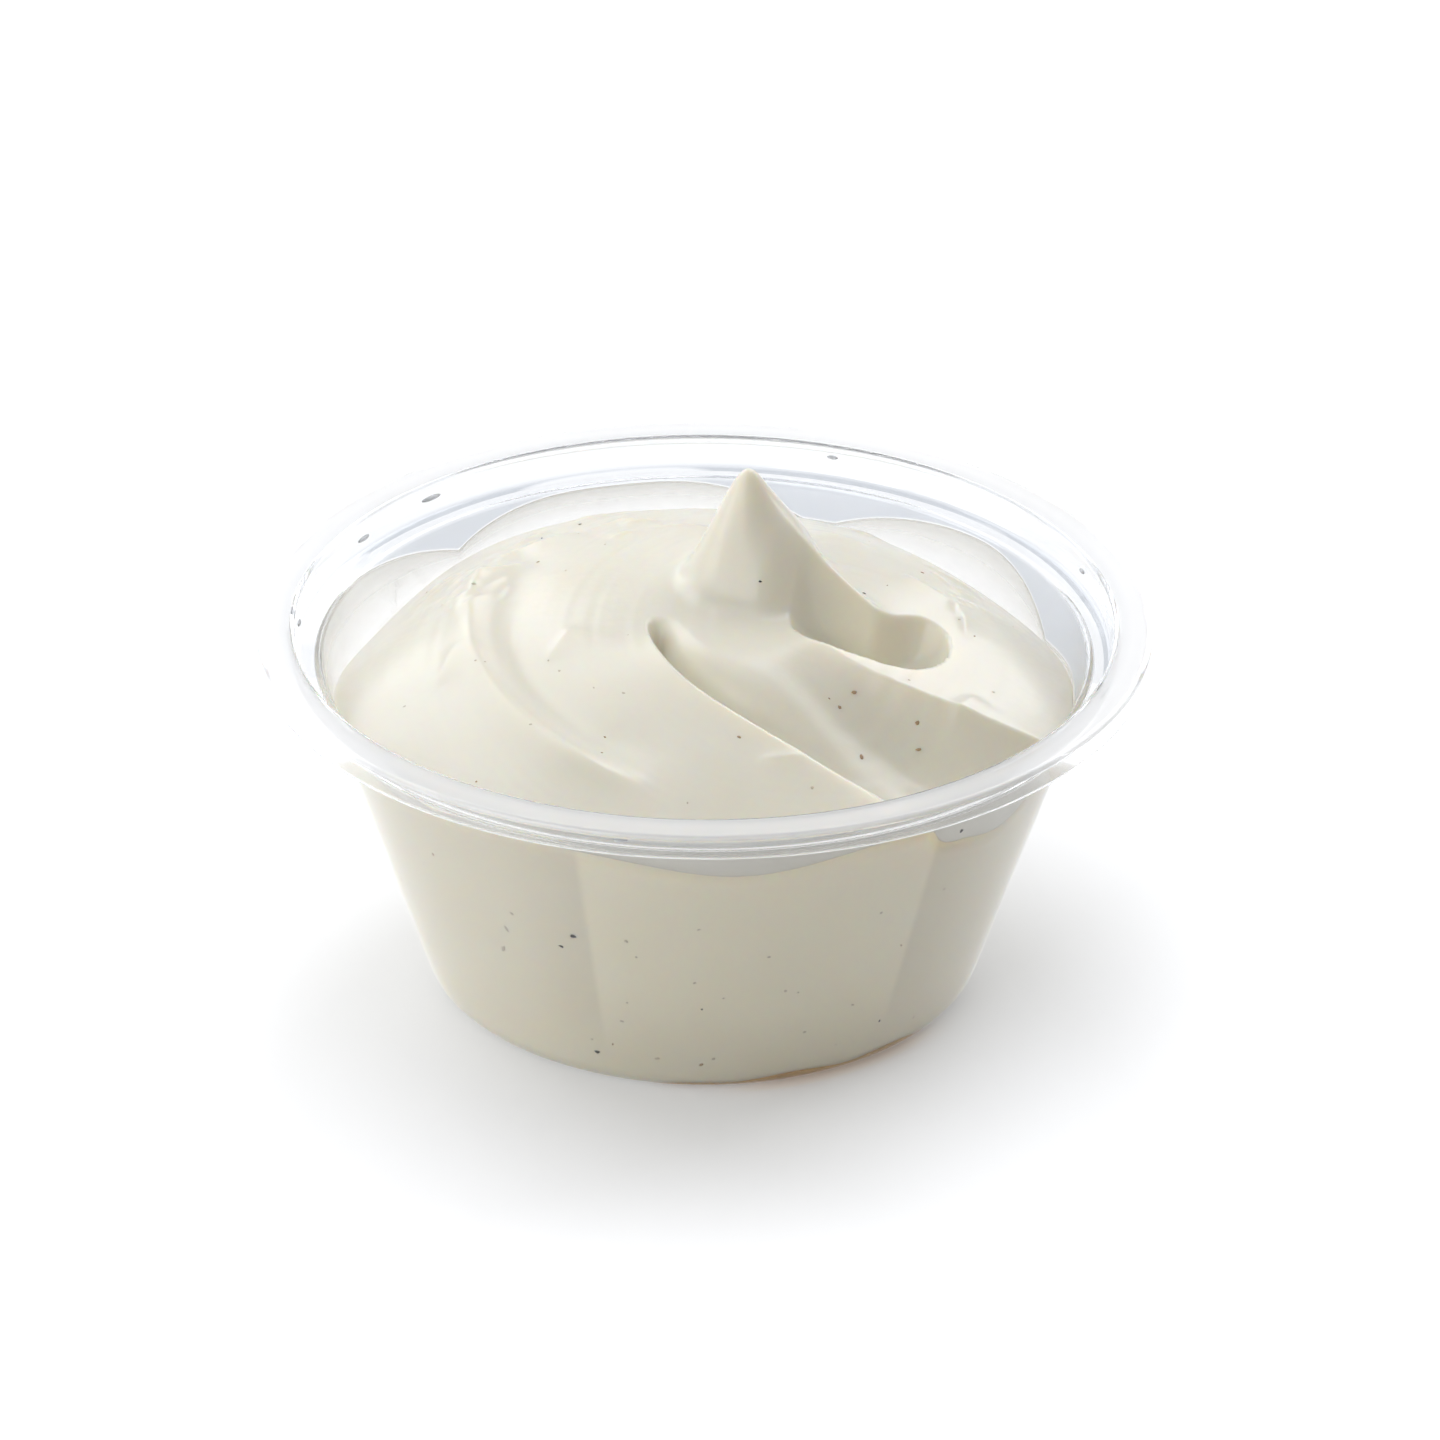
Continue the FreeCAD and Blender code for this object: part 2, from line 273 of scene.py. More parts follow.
# The flange is the clearest part, and the lip of the opening carries a fine painted dark line, fainter in
# front.
flange_start = neck_top + 0.0003
flange_fade = 0.0004
lip_inset = 0.35 * lip_rounding
lip_line = 0.00012
spots = points_of(cup_piece)
spot_reach = np.hypot(spots[:, 0], spots[:, 1])
flange_share = np.clip((spot_reach - flange_start) / flange_fade, 0, 1)
lip_reach = np.hypot(spot_reach - neck_top - lip_inset, spots[:, 2] - cup_height + lip_inset)
painted_lip_share = np.clip(1.6 - lip_reach / lip_line, 0, 1)
painted_lip_share = painted_lip_share * np.clip(0.6 + 1.2 * spots[:, 1] / neck_top, 0, 1)
mark_points(cup_piece, "on_flange", flange_share)
mark_points(cup_piece, "painted_lip_line", painted_lip_share)

# The tint of the plastic by zone, which differs with what lies behind it: painted shade, darkest as a grey
# on the bare back wall above the film.
painted_zone_shades = {
    "Body": (0.95, 0.948, 0.938, 1),
    # Painted grey shade for what shows through the bare back wall.
    "ShadedBack": (0.41, 0.44, 0.48, 1),
    "Neck": (0.87, 0.88, 0.885, 1),
    "Flange": (1.0, 1.0, 0.995, 1),
    # Painted dark line on the lip of the opening.
    "LipShade": (0.42, 0.43, 0.45, 1),
}
zone_sockets = {"Place": "Vector"} | {zone: "Color" for zone in painted_zone_shades}
painted_zone_shade, given, made = start_group("painted_zone_shade", zone_sockets, {"Colour": "Color"})
height = add_node("ShaderNodeSeparateXYZ", given["Place"]).outputs["Z"]
above_film = add_node("ShaderNodeAttribute", attribute_name="above_film").outputs["Fac"]
zone_masks = {
    "ShadedBack": ramp(above_film, 0.0, 0.0002),
    "Neck": ramp(height, ledge_level - 0.0004, ledge_level + 0.0002),
    "Flange": add_node("ShaderNodeAttribute", attribute_name="on_flange").outputs["Fac"],
    "LipShade": add_node("ShaderNodeAttribute", attribute_name="painted_lip_line").outputs["Fac"],
}
tint = given["Body"]
for zone, mask in zone_masks.items():
    tint = blend(mask, tint, given[zone])
feed(made["Colour"], tint)

# Fine waves or pores in a surface.
fine_relief, given, made = start_group(
    "fine_relief",
    {"Place": "Vector", "Scale": "Float", "Detail": "Float", "Strength": "Float", "Distance": "Float"},
    {"Normal": "Vector"},
)
unevenness = add_node(
    "ShaderNodeTexNoise", Vector=given["Place"], Scale=given["Scale"], Detail=given["Detail"]
)
bumps = add_node(
    "ShaderNodeBump", Height=unevenness.outputs["Fac"],
    Strength=given["Strength"], Distance=given["Distance"],
)
feed(made["Normal"], bumps.outputs["Normal"])

# Light that has bounced more often than this inside the thin wall goes straight on.
most_bounces = 4.5


def plastic_material(name, clarity):
    """Clear plastic. Less clarity gives the slight milkiness of its thicker rim."""
    material, plastic = start_material(name, Roughness=0.03, IOR=1.46, Transmission_Weight=clarity)
    feed(plastic.inputs["Base Color"], place_group(painted_zone_shade, **painted_zone_shades)["Colour"])
    waves = place_group(fine_relief, Scale=90.0, Detail=2.0, Strength=0.025, Distance=0.0004)
    feed(plastic.inputs["Normal"], waves["Normal"])
    facing = add_node("ShaderNodeLayerWeight", Blend=0.25).outputs["Facing"]
    shade = blend(facing, (0.98, 0.98, 0.985, 1), (0.70, 0.71, 0.72, 1))
    through = add_node("ShaderNodeBsdfTransparent", Color=shade)
    path = add_node("ShaderNodeLightPath").outputs
    trapped = reckon("GREATER_THAN", path["Ray Depth"], most_bounces)
    passes = largest_of(path["Is Shadow Ray"], path["Is Diffuse Ray"], trapped)
    chosen = add_node("ShaderNodeMixShader", passes, plastic.outputs["BSDF"], through.outputs["BSDF"])
    feed(nodes["Material Output"].inputs["Surface"], chosen.outputs["Shader"])
    return material


cup_piece.data.materials.append(plastic_material("clear_plastic", 0.97))
cup_piece.data.materials.append(plastic_material("milky_rim_plastic", 0.45))
on_rim = (flange_share > 0) & (spots[:, 2] > cup_height - wall)
for face in cup_piece.data.polygons:
    on_top = on_rim[list(face.vertices)].all()
    face.material_index = int(on_top and face.normal.z > 0.3)
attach(cup_piece, "root")
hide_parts("cup")

# -------------------------------------------------------------- the sauce
# Truffle mayonnaise, spooned in and pulled up into one peak: a soft mound with
# three folds winding out of it and a hollow beside the peak. It wets the wall,
# so its side reaches just into the plastic.

into_wall = 0.00012
foot_level = 0.0003
foot_rounding = 0.0013
foot_swell = 0.0001
foot_margin = 0.0006
dent_level = foot_height + wall - 0.0001

MOUND = {
    "edge": ledge_level - 0.0031,
    "swing": 0.0004,
    "swing_angle": 240.0,
    "rise": 0.0070,
    "fullness": 2.1,
    "lean": 0.0022,
}
# Where the mound sinks at the wall: direction, spread, depth.
EDGE_DIPS = {
    "left": (158.0, 24.0, 0.0037),
    "right": (30.0, 30.0, 0.0028),
    "front": (276.0, 15.0, 0.0024),
}
PEAK = {
    "x": 0.0036,
    "y": 0.006,
    "axis": -25.0,
    "height": 0.0098,
    "right": (0.67, 0.0018),
    "left": (2.4, 0.0),
    "front": (2.0, 0.0),
    "back": (1.7, 0.0),
    "blunt": 0.0011,
    "tip_radius": 0.0011,
    "fin_slope": 1.6,
    "fin_edge": 0.0006,
    "fin_start": 0.0030,
    "fin_growth": 0.0050,
    "fin_end": 0.0115,
    "blend": 0.0010,
}
HOLLOW = {
    "x": 0.0155,
    "y": -0.0020,
    "axis": -18.0,
    "depth": 0.0052,
    "squareness": 2.2,
    "margin": 0.0025,
    "past_fin": 0.004,
    "right": (0.0049, 0.7),
    "left": (0.0086, 1.0),
    "front": (0.0050, 0.6),
    "back": (0.0056, 0.8),
}
FOLDS = {
    "front": {
        "centre": (0.010, -0.002),
        "start": 177.0,
        "sweep": 106.0,
        "radius": (0.0148, 0.0223),
        "bend": 5.0,
        "crest": 0.0008,
        "crest_width": 0.004,
        "crest_fade": 0.3,
        "groove": 0.0024,
        "groove_width": (0.0007, 0.0026),
        "groove_start": 0.0,
        "groove_fade": 0.12,
        "side": -1.0,
        "softness": 0.0001,
    },
    "right": {
        "centre": (0.017, 0.0),
        "start": 190.0,
        "sweep": 118.0,
        "radius": (0.0089, 0.0156),
        "bend": 5.0,
        "crest": 0.0008,
        "crest_width": 0.004,
        "crest_fade": 0.25,
        "groove": 0.0044,
        "groove_width": (0.003, 0.0065),
        "groove_start": 0.15,
        "groove_fade": 0.6,
        "side": 1.0,
        "softness": 0.00015,
    },
    "left": {
        "centre": (0.017, 0.001),
        "start": 150.0,
        "sweep": 66.0,
        "radius": (0.0372, 0.0348),
        "bend": 3.0,
        "crest": 0.0011,
        "crest_width": 0.0018,
        "crest_fade": 0.3,
        "groove": 0.0006,
        "groove_width": (0.0026, 0.0026),
        "groove_start": 0.0,
        "groove_fade": 0.3,
        "side": -1.0,
        "softness": 0.0008,
    },
}


def smooth(share):
    """Ease from 0 to 1 as the share goes from 0 to 1."""
    share = np.clip(share, 0.0, 1.0)
    return share * share * (3.0 - 2.0 * share)


def turn_between(angle, other):
    """The signed angle from one direction to another, in degrees."""
    return (angle - other + 180.0) % 360.0 - 180.0


def mound_height(x, y):
    """Height of the plain mound, from its uneven edge on the wall to its middle."""
    reach = np.hypot(x, y) / body_top
    angle = np.degrees(np.arctan2(y, x))
    edge = MOUND["swing"] * np.cos(np.radians(angle - MOUND["swing_angle"]))
    for direction, spread, depth in EDGE_DIPS.values():
        edge = edge - depth * np.exp(-((turn_between(angle, direction) / spread) ** 2))
    rise = MOUND["rise"] * (1.0 - np.minimum(reach, 1.1) ** MOUND["fullness"])
    lean = MOUND["lean"] * y / body_top * np.maximum(1.0 - reach * reach, 0.0)
    return MOUND["edge"] + rise + lean + edge * reach ** 5


def turned(x, y, form):
    """Measure a place from the middle of a form, along and across its own axis."""
    axis = math.radians(form["axis"])
    side, deep = x - form["x"], y - form["y"]
    along = math.cos(axis) * side + math.sin(axis) * deep
    return along, math.cos(axis) * deep - math.sin(axis) * side


def by_side(along, aside, form, part):
    """Blend one size of a form from its right, left, front and back, by direction."""
    away = np.hypot(along, aside) + 1e-12
    across, deep = along / away, aside / away
    return (
        np.maximum(across, 0) ** 2 * form["right"][part]
        + np.maximum(-across, 0) ** 2 * form["left"][part]
        + np.maximum(-deep, 0) ** 2 * form["front"][part]
        + np.maximum(deep, 0) ** 2 * form["back"][part]
    )


def peak_height(x, y):
    """Height that the peak adds: a cone with a thin tip, which a steep fin takes over
    to its right. Its foot flares softly into the mound."""
    along, aside = turned(x, y, PEAK)
    away = np.sqrt(along * along + aside * aside + PEAK["blunt"] ** 2) - PEAK["blunt"]
    tip = 1 - np.exp(-((away / PEAK["tip_radius"]) ** 1.3))
    cone = by_side(along, aside, PEAK, 0) * away + by_side(along, aside, PEAK, 1) * tip
    beside = np.sqrt(aside * aside + PEAK["fin_edge"] ** 2) - PEAK["fin_edge"]
    fin = PEAK["right"][0] * along + PEAK["right"][1] + PEAK["fin_slope"] * beside
    turning = smooth((along - PEAK["fin_start"]) / PEAK["fin_growth"])
    drop = cone + (fin - cone) * turning
    return PEAK["blend"] * np.logaddexp(0.0, (PEAK["height"] - drop) / PEAK["blend"])


def hollow_depth(x, y):
    """Depth of the hollow: a steep lip in front, and the fin's edge for its back."""
    along, aside = turned(x, y, HOLLOW)
    power = HOLLOW["squareness"]
    away = (np.abs(along) ** power + np.abs(aside) ** power) ** (1.0 / power)
    share = away / by_side(along, aside, HOLLOW, 0)
    inside = np.maximum(1.0 - share * share, 0.0) ** by_side(along, aside, HOLLOW, 1)
    along, aside = turned(x, y, PEAK)
    bound = HOLLOW["past_fin"] * smooth((along - PEAK["fin_end"]) / HOLLOW["past_fin"])
    return HOLLOW["depth"] * inside * smooth((bound - aside) / HOLLOW["margin"])


def fold_height(x, y, fold):
    """Height that one fold adds: its crest, less the groove beside it."""
    side, deep = x - fold["centre"][0], y - fold["centre"][1]
    middle = fold["start"] + fold["sweep"] / 2
    share = turn_between(np.degrees(np.arctan2(deep, side)), middle) / fold["sweep"] + 0.5
    wound = np.clip(share, 0.0, 1.15)
    first, final = fold["radius"]
    radius = first + (final - first) * wound ** fold["bend"]
    pitch = (final - first) * fold["bend"] * wound ** (fold["bend"] - 1.0)
    pitch = pitch / math.radians(fold["sweep"])
    away = (np.hypot(side, deep) - radius) * radius / np.hypot(radius, pitch)
    ending = smooth((1.25 - share) / 0.25)
    soft = fold["softness"]
    ridge = np.exp(-(np.sqrt(away * away + soft * soft) - soft) / fold["crest_width"])
    ridge = ridge * fold["crest"] * smooth(share / fold["crest_fade"])
    width = fold["groove_width"][0]
    width = width + (fold["groove_width"][1] - width) * wound
    into = np.maximum(away * fold["side"], 0.0)
    into = (np.sqrt(into * into + soft * soft) - soft) / width
    groove = fold["groove"] * into * np.exp((1.0 - into * into) / 2)
    groove = groove * smooth((share - fold["groove_start"]) / fold["groove_fade"])
    return ending * (ridge - groove)


def sauce_height(x, y):
    """Height of the sauce's top above the table."""
    height = mound_height(x, y) + peak_height(x, y) - hollow_depth(x, y)
    for fold in FOLDS.values():
        height = height + fold_height(x, y, fold)
    return height


# Small lips where the spoon left the sauce: x, y, axis, length, width, height.
LIPS = [
    (-0.0135, 0.0165, 22.0, 0.0042, 0.0007, 0.00045),
    (-0.0180, 0.0105, 34.0, 0.0050, 0.0008, 0.00040),
    (-0.0195, 0.0040, 52.0, 0.0036, 0.0006, 0.00030),
    (-0.0060, 0.0190, -14.0, 0.0034, 0.0006, 0.00035),
    (-0.0015, 0.0165, -8.0, 0.0026, 0.0005, 0.00030),
    (-0.0215, -0.0050, 74.0, 0.0040, 0.0007, 0.00030),
    (-0.0120, -0.0040, 64.0, 0.0036, 0.0006, 0.00026),
    (0.0190, 0.0090, -40.0, 0.0040, 0.0007, 0.00032),
    (0.0120, 0.0170, -24.0, 0.0044, 0.0007, 0.00036),
    (0.0215, -0.0105, 60.0, 0.0034, 0.0006, 0.00028),
    (0.0065, -0.0200, 8.0, 0.0032, 0.0006, 0.00026),
]
# Patches of small torn streaks: how many, from and to which direction and reach.
STREAK_PATCHES = [(20, 98.0, 172.0, 0.0165, 0.0285), (9, 6.0, 62.0, 0.0220, 0.0295)]
drag_centre = (0.010, -0.002)
drag_depth = 0.000008
drag_sway = 0.0011


def torn_streaks(chance):
    """Small streaks at random places of their patches, each running round the mound."""
    streaks = []
    for count, from_turn, to_turn, from_reach, to_reach in STREAK_PATCHES:
        for _ in range(count):
            turn, far = chance.uniform(from_turn, to_turn), chance.uniform(from_reach, to_reach)
            x, y = far * math.cos(math.radians(turn)), far * math.sin(math.radians(turn))
            axis = turn + 90 + chance.uniform(-14, 14)
            length, width = chance.uniform(0.0016, 0.0040), chance.uniform(0.00035, 0.0006)
            streaks.append((x, y, axis, length, width, chance.uniform(0.00014, 0.00034)))
    return streaks


def lip_height(x, y, lip):
    """Height of one lip: steep on one side, three times as wide on the other, and bent."""
    lip_x, lip_y, axis, length, width, rise = lip
    along, aside = turned(x, y, {"x": lip_x, "y": lip_y, "axis": axis})
    aside = aside + 0.06 * along * along / length
    step = np.exp(-np.maximum(aside, 0) / width) * np.exp(-np.maximum(-aside, 0) / (3 * width))
    return rise * step * np.exp(-((along / length) ** 4) * 8)


def drag_marks(x, y):
    """Faint lines that the spoon dragged round the swirl, in patches, then the lips."""
    chance = np.random.default_rng(5)
    side, deep = x - drag_centre[0], y - drag_centre[1]
    round_swirl = np.arctan2(deep, side)
    out = np.hypot(side, deep) + drag_sway * np.cos(2 * round_swirl + 0.6)
    lines = np.zeros_like(x)
    for _ in range(9):
        pitch, drift, phase = chance.uniform(0.0009, 0.0026), chance.integers(1, 5), chance.uniform(0, 7)
        lines = lines + np.sin(2 * np.pi * out / pitch + drift * round_swirl + phase)
    patches = np.zeros_like(x)
    for _ in range(6):
        across, back, phase = chance.normal(0, 230), chance.normal(0, 230), chance.uniform(0, 7)
        patches = patches + np.sin(across * x + back * y + phase)
    height = drag_depth * lines / 2 * smooth(0.45 + 0.35 * patches)
    for lip in LIPS + torn_streaks(chance):
        height = height + lip_height(x, y, lip)
    return height


def dressed_height(x, y):
    """The sauce's top with its fine marks, which die out at the wall."""
    reach = np.hypot(x, y) / body_top
    return sauce_height(x, y) + drag_marks(x, y) * smooth((1.02 - reach) / 0.12)


def wall_radius(z):
    """Inner radius of the cup's body at a height."""
    share = np.clip((z - wall) / (ledge_level - wall), 0.0, 1.0)
    return floor_edge + (body_top - floor_edge) * share


def edge_radius(bearing):
    """Radius at which the sauce's top meets the wall. It closes in on it step by step."""
    edge = np.full_like(bearing, body_top)
    for _ in range(12):
        edge = wall_radius(sauce_height(edge * np.cos(bearing), edge * np.sin(bearing)))
    return edge


def side_radius(level, reach):
    """Radius of the side, that far into the wall, with a rounded foot in the base's corner."""
    low = np.clip(1.0 - (level - foot_level) / foot_rounding, 0.0, 1.0)
    rounding = foot_rounding * (1.0 - np.sqrt(1.0 - low * low))
    return wall_radius(level) + reach + foot_swell * low - rounding


def sauce_mesh(count, rings):
    """Mesh the sauce: its top on a square grid drawn out to a disc, its side, its foot."""
    step = np.linspace(-1.0, 1.0, count)
    across, deep = np.meshgrid(step, step, indexing="ij")
    reach = np.maximum(np.abs(across), np.abs(deep))
    along = np.where(np.abs(across) > np.abs(deep), deep, across) / np.maximum(reach, 1e-9)
    angle = np.where(
        np.abs(across) > np.abs(deep),
        np.where(across > 0, 0.0, np.pi) + np.sign(across) * along * np.pi / 4,
        np.sign(deep) * (np.pi / 2 - along * np.pi / 4),
    )
    edge = edge_radius(angle) + into_wall
    x, y = reach * edge * np.cos(angle), reach * edge * np.sin(angle)
    top = np.stack([x, y, dressed_height(x, y)], -1).reshape(-1, 3)
    number = np.arange(count * count).reshape(count, count)
    faces = faces_between(number[:-1, :-1], number[1:, :-1], number[1:, 1:], number[:-1, 1:])
    border = np.concatenate([number[:-1, 0], number[-1, :-1], number[:0:-1, -1], number[0, :0:-1]])
    bearing = np.arctan2(top[border, 1], top[border, 0])
    loops = []
    for ring in range(1, rings + 1):
        share = 1 - (1 - ring / rings) ** 1.5
        level = top[border, 2] * (1 - share) + foot_level * share
        loops.append(points_round(side_radius(level, into_wall), bearing, level))
    loops.append(points_round(push_up + foot_margin, bearing, foot_level))
    loops.append(points_round(push_up - foot_height, bearing, dent_level))
    above, below = border, len(top) + np.arange(len(border))
    for _ in loops:
        faces += faces_between(above, below, np.roll(below, -1), np.roll(above, -1))
        above, below = below, below + len(border)
    faces += faces_between(np.roll(above, -1), above, np.full_like(above, below[0]))
    return np.vstack([top, *loops, [(0.0, 0.0, dent_level)]]), faces


sauce_piece = mesh_piece("swirled_sauce", *sauce_mesh(285, 22))

# Painted light and shade on the sauce's side: a little darker and warmer all round, a painted lighter band
# in front between two of the wall's generators, and painted darker strips beside that band.
lit_band_from, lit_band_to, lit_band_fade = 251.0, 308.0, 14.0
side_shade, painted_band_light = 0.97, 0.07
painted_shade_warmth = np.array([[1.0, 0.98, 0.92]])
sauce_spots = points_of(sauce_piece)
sauce_bearing = np.degrees(np.arctan2(sauce_spots[:, 1], sauce_spots[:, 0])) % 360
half_lit_band = (lit_band_to - lit_band_from) / 2
aside_of_lit_band = np.abs(sauce_bearing - lit_band_from - half_lit_band) - half_lit_band
outside_lit_band = -np.clip(1 - aside_of_lit_band / lit_band_fade, 0, 1)
painted_band_share = outside_lit_band + (1 - outside_lit_band) * smooth(0.5 - aside_of_lit_band / 1.6)
painted_band_share = painted_band_share * smooth((sauce_spots[:, 2] - 0.002) / 0.009)
on_side = np.hypot(sauce_spots[:, 0], sauce_spots[:, 1]) > wall_radius(sauce_spots[:, 2]) - 0.0001
painted_side_light_and_shade = (side_shade + painted_band_light * painted_band_share)[:, None] * painted_shade_warmth
painted_side_light_and_shade = np.where(on_side[:, None], painted_side_light_and_shade, np.ones((1, 3)))
mark_points(sauce_piece, "painted_side_light_and_shade", np.hstack([painted_side_light_and_shade, np.ones((len(painted_side_light_and_shade), 1))]), "FLOAT_COLOR")

# A soft change between two tones, and its pattern.
mottle, given, made = start_group(
    "mottle",
    {"Place": "Vector", "Scale": "Float", "Detail": "Float", "Dark": "Color", "Light": "Color"},
    {"Colour": "Color", "Pattern": "Float"},
)
cloud = add_node("ShaderNodeTexNoise", Vector=given["Place"], Scale=given["Scale"], Detail=given["Detail"])
feed(made["Colour"], blend(cloud.outputs["Fac"], given["Dark"], given["Light"]))
feed(made["Pattern"], cloud.outputs["Fac"])

sauce_cream, cream = start_material(
    "sauce_cream", Roughness=0.25, IOR=1.46, Subsurface_Weight=1.0,
    Subsurface_Radius=(1.0, 0.75, 0.45), Subsurface_Scale=0.0016,
)
tone = place_group(
    mottle, Scale=140.0, Detail=4.0, Dark=(0.835, 0.798, 0.665, 1), Light=(0.88, 0.852, 0.75, 1)
)
# The sauce's tone is multiplied by the painted light and shade of its side.
painted_side_colour = add_node("ShaderNodeAttribute", attribute_name="painted_side_light_and_shade").outputs["Color"]
toned = add_node("ShaderNodeVectorMath", tone["Colour"], painted_side_colour, operation="MULTIPLY")
feed(cream.inputs["Base Color"], toned.outputs[0])
pores = place_group(fine_relief, Scale=900.0, Detail=3.0, Strength=0.08, Distance=0.0002)
feed(cream.inputs["Normal"], pores["Normal"])
sauce_piece.data.materials.append(sauce_cream)
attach(sauce_piece, "root")
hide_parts("sauce")

# --------------------------------------------------------- film on the wall
# Sauce that slid down again and left a thin milky film on the inside of the
# wall, in three lobes at the back and one in front, each with a beaded edge.
# All round, it ends just above the sauce.

# Each lobe: direction of its middle, half its spread, level of its top.
FILM_LOBES = [
    (166.0, 37.0, 0.0293), (105.0, 32.0, 0.0288), (44.0, 26.0, 0.0284), (290.0, 66.0, 0.0299),
]
film_thickness = 0.00003
film_sink = 0.00006
film_overlap = 0.0004
bead_thickness = 0.00009
bead_height = 0.00022
bead_lift = 0.00028
bead_cover = 0.5
front_cover = 0.9
thin_cover, thick_cover = 0.03, 0.14
front_from, front_fade = 0.010, 0.010


def sauce_edge(bearing):
    """Level at which the sauce meets the wall."""
    edge = edge_radius(bearing)
    return sauce_height(edge * np.cos(bearing), edge * np.sin(bearing))


def film_top(bearing):
    """Level of the film's upper edge."""
    low = sauce_edge(bearing)
    top = low + bead_lift * (1 + 0.4 * np.sin(7 * bearing) + 0.3 * np.sin(13 * bearing + 1))
    degrees = np.degrees(bearing)
    for direction, spread, level in FILM_LOBES:
        share = np.clip(np.abs(turn_between(degrees, direction)) / spread, 0, 1)
        top = np.maximum(top, low + (level - low) * (1 - share ** 2.4))
    top = top + 0.00012 * np.sin(11 * bearing) * np.sin(3 * bearing)
    return np.minimum(top, ledge_level - 0.0001)


def film_mesh(turns, rows):
    """Mesh the film as a closed band: its wet inner face, its bead and its back. With each
    point goes how well the film covers there."""
    bearing = np.linspace(0, 2 * np.pi, turns, endpoint=False)
    low, top = sauce_edge(bearing) - film_overlap, film_top(bearing)
    in_front = smooth((-body_top * np.sin(bearing) - front_from) / front_fade)
    loops, covers = [], []
    for row in range(rows + 1):
        level = low + (top - low) * row / rows
        below = np.maximum(top - level, 0)
        bulge = np.sqrt(np.clip(1 - (2 * below / bead_height - 1) ** 2, 0, 1)) * (below < bead_height)
        thick = film_thickness * np.minimum(below / 0.0001, 1) + bead_thickness * bulge
        loops.append((wall_radius(level) - thick, level))
    loops += [(wall_radius(level) + film_sink, level) for level in (top, low)]
    for _, level in loops:
        on_bead = np.clip(1 - (top - level) / bead_height, 0, 1)
        covers.append(np.maximum(bead_cover * on_bead, front_cover * in_front))
    points = [points_round(radius, bearing, level) for radius, level in loops]
    under = np.arange(len(loops) * turns).reshape(len(loops), turns)
    over = np.roll(under, -1, axis=0)
    faces = faces_between(under, np.roll(under, -1, axis=1), np.roll(over, -1, axis=1), over)
    return np.vstack(points), faces, np.concatenate(covers)


film_points, film_faces, film_cover = film_mesh(720, 26)
film_piece = mesh_piece("wall_film", film_points, film_faces)
mark_points(film_piece, "film_cover", film_cover)
milky_film, milk = start_material("milky_film", Roughness=0.25, IOR=1.46)
smear = place_group(
    mottle, Scale=260.0, Detail=4.0, Dark=(0.80, 0.775, 0.69, 1), Light=(0.86, 0.84, 0.77, 1)
)
feed(milk.inputs["Base Color"], smear["Colour"])
covered = add_node("ShaderNodeAttribute", attribute_name="film_cover").outputs["Fac"]
smeared = ramp(smear["Pattern"], 0.0, 1.0, thin_cover, thick_cover)
feed(milk.inputs["Alpha"], largest_of(smeared, covered))
film_piece.data.materials.append(milky_film)
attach(film_piece, "root")

# Behind, the inside of the wall above the film is bare, and its plastic carries a painted grey shade there
# for what shows through it.
back_shade_from = -0.006
no_back_shade = -0.01
above = spots[:, 2] - film_top(np.arctan2(spots[:, 1], spots[:, 0]))
outer_face = spot_reach > wall_radius(spots[:, 2]) + wall * 0.9
covered = (spots[:, 1] < back_shade_from) | (outer_face & (spots[:, 2] < ledge_level - wall))
mark_points(cup_piece, "above_film", np.where(covered, no_back_shade, above))

# ---------------------------------------------------------- truffle flecks
# Chips of black truffle stirred through the sauce. Some lie on its top and some
# press against the clear wall; the faint ones lie just under a skin of sauce.

# On the wall: direction, level, length, share of the length that is its width.
DARK_ON_WALL = [
    (248.2, 0.0165, 0.00060, 0.8), (245.6, 0.0150, 0.00052, 0.7), (248.9, 0.0032, 0.00062, 0.7),
    (312.5, 0.0246, 0.00056, 0.8), (196.0, 0.0110, 0.00060, 0.7), (20.0, 0.0170, 0.00066, 0.6),
    (84.0, 0.0080, 0.00056, 0.8), (141.0, 0.0190, 0.00062, 0.7),
]
BROWN_ON_WALL = [
    (269.8, 0.0029, 0.00052, 0.8), (222.0, 0.0205, 0.00046, 0.7), (349.0, 0.0105, 0.00050, 0.8),
    (52.0, 0.0130, 0.00054, 0.6), (118.0, 0.0165, 0.00050, 0.8), (172.0, 0.0060, 0.00044, 0.7),
]
FAINT_ON_WALL = [
    (261.2, 0.0034, 0.00055, 0.8), (255.0, 0.0074, 0.00050, 0.7), (268.7, 0.0126, 0.00045, 0.8),
    (269.4, 0.0188, 0.00050, 0.6), (258.9, 0.0152, 0.00040, 0.8), (281.1, 0.0153, 0.00050, 0.7),
    (284.8, 0.0111, 0.00045, 0.8), (299.0, 0.0078, 0.00050, 0.6), (300.2, 0.0181, 0.00045, 0.8),
    (317.0, 0.0031, 0.00040, 0.7), (237.1, 0.0173, 0.00060, 0.7), (235.0, 0.0152, 0.00110, 0.4),
    (233.0, 0.0126, 0.00120, 0.4), (313.0, 0.0182, 0.00050, 0.7), (289.8, 0.0058, 0.00045, 0.8),
]
